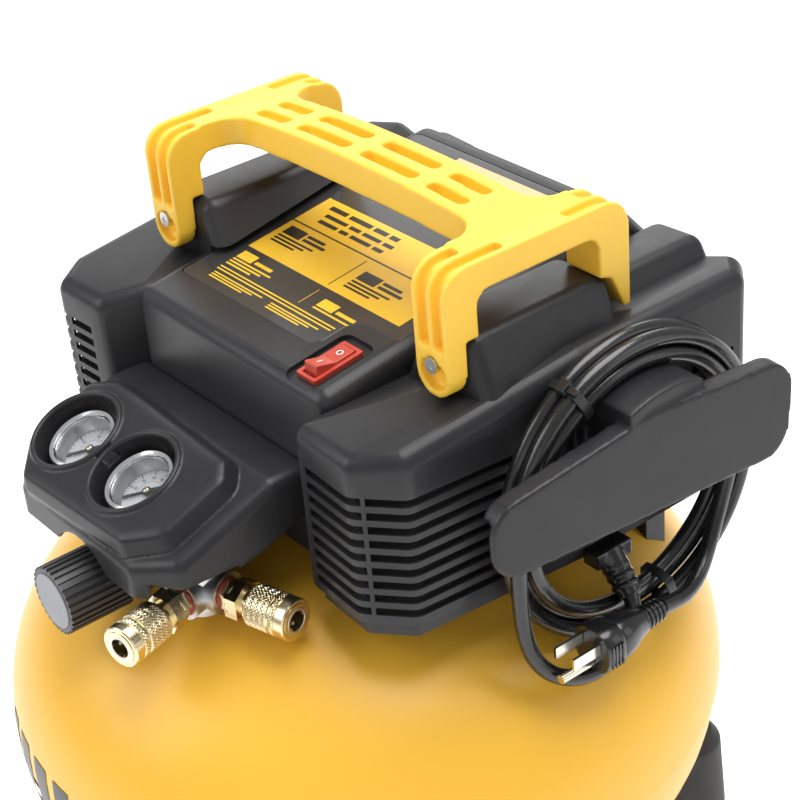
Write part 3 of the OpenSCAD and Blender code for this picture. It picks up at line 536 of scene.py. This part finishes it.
# ---------- decal on the tank, as plain slanted bars ----------
TANK_R, TANK_HALF, TANK_N, TANK_Z = 0.203, 0.120, 2.26, 0.180


def tank_point(turn, fall, lift):
    """A point on the tank at an angle about Z and an angle below the equator, lifted off it."""
    r = TANK_R * abs(math.cos(fall)) ** (2 / TANK_N)
    z = math.copysign(TANK_HALF * abs(math.sin(fall)) ** (2 / TANK_N), -fall)
    grow = 1 + lift / TANK_HALF
    return Vector((r * grow * math.cos(turn), r * grow * math.sin(turn), TANK_Z + z * grow))


def tank_decal():
    form = bmesh.new()
    across, down = 6, 8
    for k in range(8):
        left = math.radians(-113 + 7 * k)
        wide = math.radians(4.6)
        grid = []
        for j in range(down + 1):
            fall = math.radians(-7 + 29 * j / down)
            lean = math.radians(0.2) * (j - down / 2)
            grid.append([form.verts.new(tank_point(left + wide * i / across + lean, fall,
                                                   0.00015)) for i in range(across + 1)])
        for low, high in zip(grid[1:], grid):
            for i in range(across):
                form.faces.new((low[i], low[i + 1], high[i + 1], high[i]))
    from_bmesh("tank_decal", form, "base", "print_dark")


tank_decal()


# ---------- dark sheets behind the louvres, painted shade in the slots ---
def louvre_shade_sheets():
    # upright near-black walls just inside the cover, painting shade into the louvre slots
    form = bmesh.new()
    low, high = 312.5, 388
    rows = [[(84, -75.3), (118.4, -76.8), (136.4, -62.2), (144, 0)],
            [(146.2, 108), (146.2, 146), (134, 158.8), (84, 158.8)],
            [(-107, -75.3), (-137.8, -77.7), (-148.9, -61.8), (-150.6, 0)],
            [(-151, 108), (-151, 146), (-139, 158.8), (-90, 158.8)]]
    for row in rows:
        walls = [[form.verts.new((x * MM, y * MM, z * MM)) for z in (low, high)]
                 for x, y in row]
        for near, far in zip(walls, walls[1:]):
            form.faces.new((near[0], far[0], far[1], near[1]))
    from_bmesh("louvre_painted_shade", form, "base", "painted_shade_black", smooth=False)


louvre_shade_sheets()


# ---------- mains cord ----------
GLAND_AT = Vector((0.152, 0.050, 0.303))
LEAN = math.radians(40)
OUT = Vector((math.sin(LEAN), 0, -math.cos(LEAN)))
LEAD = [GLAND_AT + OUT * 0.003, GLAND_AT + OUT * 0.026, Vector((0.178, 0.043, 0.272)),
        Vector((0.183, 0.028, 0.264)), Vector((0.184, 0.010, 0.261)),
        Vector((0.180, -0.009, 0.2665)), Vector((0.1745, -0.0195, 0.278)),
        Vector((0.170, -0.0228, 0.292)), Vector((0.167, -0.0218, 0.310))]
TAIL = [Vector((0.1698, 0.1073, 0.2925)), Vector((0.176, 0.0963, 0.282)),
        Vector((0.1815, 0.0835, 0.278)), Vector((0.185, 0.0695, 0.2798)),
        Vector((0.186, 0.0548, 0.282))]
TURNS = 4                                   # the last one ends after its way over the top
START = 186                                 # degrees from +Y, where the lead joins the coil
BACK_SWEEP = 221                            # degrees over the top before a turn changes place
COIL_STEP = 15                              # degrees between two points of the coil
COIL_R = 0.0750                             # middle of the bundle
BUNDLE_R = 0.0062                           # from the bundle's middle to a strand's
COIL_SLACK = 0.0012
FINE = 5                                    # points between two chosen ones
BLEND = 12                                  # fine points of the coil that are eased too


def coil_points():
    """Turns laid two by two; each one changes its place in the bundle along the bottom."""
    points, total = [], BACK_SWEEP + 360 * (TURNS - 1)
    for k in range(int(total / COIL_STEP) + 1):
        swept = min(total, COIL_STEP * k)
        turn, part = divmod(swept, 360)
        t = max(0.0, (part - BACK_SWEEP) / (360 - BACK_SWEEP))
        place = math.radians(45 + 90 * (turn + t * t * (3 - 2 * t)))
        slack = (COIL_SLACK * math.sin(math.radians(swept * 1.7))
                 * math.sin(math.pi * swept / total))
        r = COIL_R + BUNDLE_R * math.sin(place) + slack
        x = COIL_AT.x + BUNDLE_R * math.cos(place)
        a = math.radians(START - swept)
        points.append(Vector((x, COIL_AT.y + r * math.cos(a), COIL_AT.z + r * math.sin(a))))
    return points


def relaxed(points, fixed, rounds=30):
    """Evens out the bends, as a stiff cord does, and leaves the straight exit alone."""
    points = [p.copy() for p in points]
    for _ in range(rounds):
        last = [p.copy() for p in points]
        for k in range(fixed, len(points) - 6):
            near = min(k - fixed, len(points) - 7 - k, 4) / 4
            points[k] = last[k].lerp((last[k - 1] + last[k + 1]) / 2, 0.5 * near)
    return points


whole = catmull(LEAD + coil_points() + TAIL, FINE)
lead_end = len(LEAD) * FINE + BLEND
tail_start = len(whole) - len(TAIL) * FINE - BLEND
cord_line = (relaxed(whole[:lead_end], 6) + whole[lead_end:tail_start]
             + relaxed(whole[tail_start:], 1))
cord = tube_curve("mains_cord", cord_line, CORD_D / 2, "base", "cord_black")
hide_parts("cord_tube", "cord_coil", "cord_tail")


def ties():
    """Nylon ties round the bundle, each with its head and a short end."""
    made = []
    half_wide, thick, steps = 0.0026, 0.0011, 40
    for k, angle in enumerate((120, 285)):
        a = math.radians(angle)
        centre = Vector((COIL_AT.x, COIL_AT.y + COIL_R * math.cos(a),
                         COIL_AT.z + COIL_R * math.sin(a)))
        outward = Vector((0, math.cos(a), math.sin(a)))
        along = Vector((0, -math.sin(a), math.cos(a)))
        across = Vector((1, 0, 0))
        form = bmesh.new()
        rings = []
        for i in range(steps):
            t = 2 * math.pi * i / steps
            c, s = math.cos(t), math.sin(t)
            # rounded square round the four strands
            reach = 0.0094 / max(abs(c), abs(s)) ** 0.62
            ring = []
            for w, d in ((-half_wide, 0), (-half_wide, thick), (half_wide, thick),
                         (half_wide, 0)):
                ring.append(form.verts.new(centre + (across * c + outward * s) * (reach + d)
                                           + along * w))
            rings.append(ring)
        for i in range(steps):
            low, high = rings[i], rings[(i + 1) % steps]
            for j in range(4):
                form.faces.new((low[j], low[(j + 1) % 4], high[(j + 1) % 4], high[j]))
        head = Matrix.Translation(centre + outward * 0.0112 + across * 0.002)
        turned = head @ Matrix.Rotation(a - math.pi / 2, 4, "X")
        bar(form, turned, (-0.003, -0.0034, -0.001), (0.003, 0.0034, 0.0026))
        bar(form, turned, (0.003, -0.0016, 0.0002), (0.0085, 0.0016, 0.0012))
        bmesh.ops.recalc_face_normals(form, faces=form.faces)
        tie = from_bmesh(f"cord_tie_{k}", form, "base", "tie_black", smooth=False)
        bevel = tie.modifiers.new("bevel", "BEVEL")
        bevel.width, bevel.segments = 0.0003, 2
        made.append(tie)
    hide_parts("cord_ties")
    return made


cord_ties = ties()


def plug():
    """Moulded plug: a waisted body with grip ribs and a fluted neck."""
    form = bmesh.new()
    place = (Matrix.Translation((PLUG_X, 0.0, PLUG_Z)) @ Matrix.Rotation(-math.pi / 2, 4, "X"))
    # along +Y: distance, half width, half height, squareness
    rows = [(0.0062, 0.0112, 0.0112, 2.6), (0.0064, 0.0121, 0.0121, 2.6),
            (0.0074, 0.0126, 0.0126, 2.6), (0.0170, 0.0126, 0.0126, 2.5),
            (0.0180, 0.0122, 0.0122, 2.5), (0.0190, 0.0117, 0.0117, 2.5),
            (0.0200, 0.0121, 0.0120, 2.4), (0.0270, 0.0112, 0.0113, 2.3),
            (0.0330, 0.0088, 0.0092, 2.2), (0.0380, 0.0074, 0.0076, 2.1)]
    for k in range(5):
        y = 0.0392 + k * 0.0030
        size = 0.0070 - 0.0003 * k
        rows += [(y, size, size, 2), (y + 0.0014, size, size, 2),
                 (y + 0.0017, size - 0.0010, size - 0.0010, 2),
                 (y + 0.0027, size - 0.0010, size - 0.0010, 2)]
    steps, rings = 48, []
    for y, half_w, half_h, power in rows:
        ring = []
        for i in range(steps):
            t = 2 * math.pi * i / steps
            c, s = math.cos(t), math.sin(t)
            ring.append(form.verts.new(place @ Vector((
                half_w * math.copysign(abs(c) ** (2 / power), c),
                half_h * math.copysign(abs(s) ** (2 / power), s), y))))
        rings.append(ring)
    for low, high in zip(rings, rings[1:]):
        for i in range(steps):
            j = (i + 1) % steps
            form.faces.new((low[i], low[j], high[j], high[i]))
    form.faces.new(list(reversed(rings[0])))
    form.faces.new(rings[-1])
    for side in (-1, 1):
        for k in range(4):
            bar(form, place, (side * 0.0124 - 0.0005, -0.0065, 0.0085 + 0.0023 * k),
                (side * 0.0124 + 0.0005, 0.0065, 0.0095 + 0.0023 * k))
    body = from_bmesh("plug_shell", form, "base", "cord_black")
    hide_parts("plug_body")
    split = body.modifiers.new("split", "EDGE_SPLIT")
    split.split_angle = math.radians(40)
    return body


plug_shell = plug()


# ---------- light and floor ----------
def stage():
    """A plain pale floor."""
    half = 6.0
    ground = bmesh.new()
    ground.faces.new([ground.verts.new((x * half, y * half, -0.0005))
                      for x, y in ((-1, -1), (1, -1), (1, 1), (-1, 1))])
    data = bpy.data.meshes.new("floor")
    ground.to_mesh(data)
    ground.free()
    floor = bpy.data.objects.new("floor", data)
    bpy.context.scene.collection.objects.link(floor)
    pale = material("floor_pale", (0.93, 0.93, 0.93), 0.8, tint=0.01, tint_scale=2)
    shader = pale.node_tree.nodes["Principled BSDF"]
    shader.inputs["Emission Color"].default_value = (1, 1, 1, 1)
    shader.inputs["Emission Strength"].default_value = 0.42
    data.materials.append(pale)


def area(name, at, towards, size, power):
    data = bpy.data.lights.new(name, "AREA")
    data.shape, data.size, data.size_y = "RECTANGLE", size[0], size[1]
    data.energy = power
    lamp = bpy.data.objects.new(name, data)
    lamp.location = at
    lamp.rotation_euler = (Vector(towards) - Vector(at)).to_track_quat("-Z", "Y").to_euler()
    bpy.context.scene.collection.objects.link(lamp)


stage()
area("overhead", (0.15, 0.35, 1.9), (0, 0, 0.3), (1.5, 1.2), 34)
area("key", (-0.9, -1.5, 1.5), (0, 0, 0.25), (1.3, 1.3), 17)
area("back", (-1.9, 1.3, 1.35), (0, 0, 0.35), (2.2, 1.3), 16)
area("rim", (1.6, 1.2, 1.0), (0, 0, 0.3), (0.9, 1.3), 4)
area("front_fill", (1.4, -1.3, 0.7), (0, 0, 0.25), (1.2, 0.9), 2)
world = bpy.data.worlds.new("studio")
world.use_nodes = True
world.node_tree.nodes["Background"].inputs["Color"].default_value = (1, 1, 1, 1)
world.node_tree.nodes["Background"].inputs["Strength"].default_value = 0.42
bpy.context.scene.world = world
bpy.context.scene.view_settings.view_transform = "Standard"
